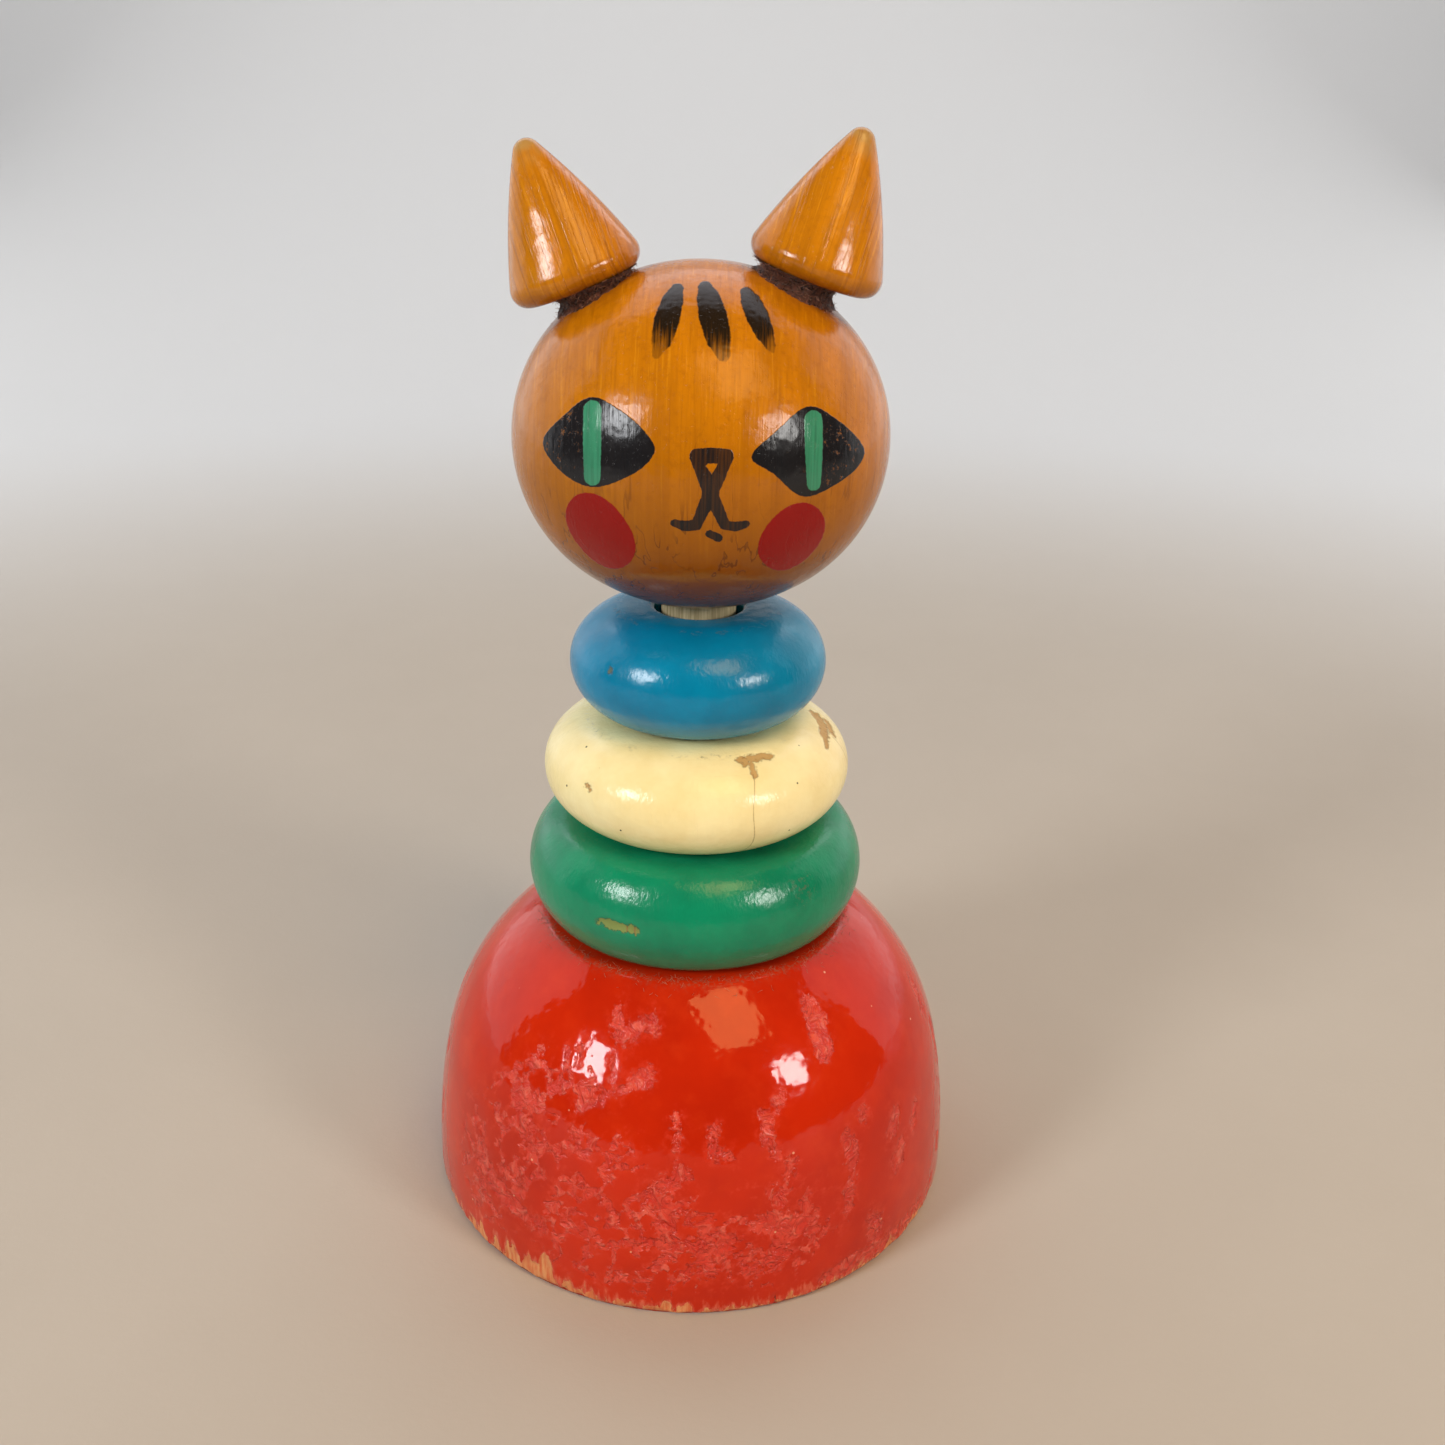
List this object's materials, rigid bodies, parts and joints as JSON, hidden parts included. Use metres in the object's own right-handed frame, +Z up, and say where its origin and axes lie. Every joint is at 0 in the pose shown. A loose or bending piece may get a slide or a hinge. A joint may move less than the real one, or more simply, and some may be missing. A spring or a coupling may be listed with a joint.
{
  "type": "stacking ring toy",
  "caption": "Wooden cat stacking toy: domed base with an upright post, graduated rounded rings and a ball head with cone ears.",
  "frame": {"origin": "middle of the dome's flat underside, on the table", "axes": "+Z up along the post; the cat's face looks towards -Y; +X is to the right seen from the front, and left and right in node names are as seen from the front"},
  "size_m": [0.092, 0.092, 0.1752],
  "materials": {
    "red_lacquer": "turned hardwood with glossy orange-red lacquer, flaked and worn at the foot",
    "green_enamel": "turned hardwood with gloss green enamel",
    "cream_enamel": "turned hardwood with gloss cream enamel, chipped",
    "blue_enamel": "turned hardwood with gloss blue enamel",
    "amber_varnish": "fine-grained hardwood under aged amber varnish",
    "bare_dowel": "bare hardwood dowel"
  },
  "bodies": {
    "base": {"base_dome": "red_lacquer", "centre_post": "bare_dowel"},
    "green_ring": {"ring_green": "green_enamel"},
    "cream_ring": {"ring_cream": "cream_enamel"},
    "blue_ring": {"ring_blue": "blue_enamel"},
    "head": {"head_ball": "amber_varnish", "ear_left": "amber_varnish", "ear_right": "amber_varnish", "ear_peg_left": "bare_dowel", "ear_peg_right": "bare_dowel"}
  },
  "joints": [
    {"name": "green_lift", "type": "slide", "parent": "base", "child": "green_ring", "axis": [0, 0, 1], "range_m": [0, 0.08]},
    {"name": "cream_lift", "type": "slide", "parent": "green_ring", "child": "cream_ring", "axis": [0, 0, 1], "range_m": [0, 0.062]},
    {"name": "blue_lift", "type": "slide", "parent": "cream_ring", "child": "blue_ring", "axis": [0, 0, 1], "range_m": [0, 0.044]},
    {"name": "head_lift", "type": "slide", "parent": "blue_ring", "child": "head", "axis": [0, 0, 1], "range_m": [0, 0.024]}
  ]
}
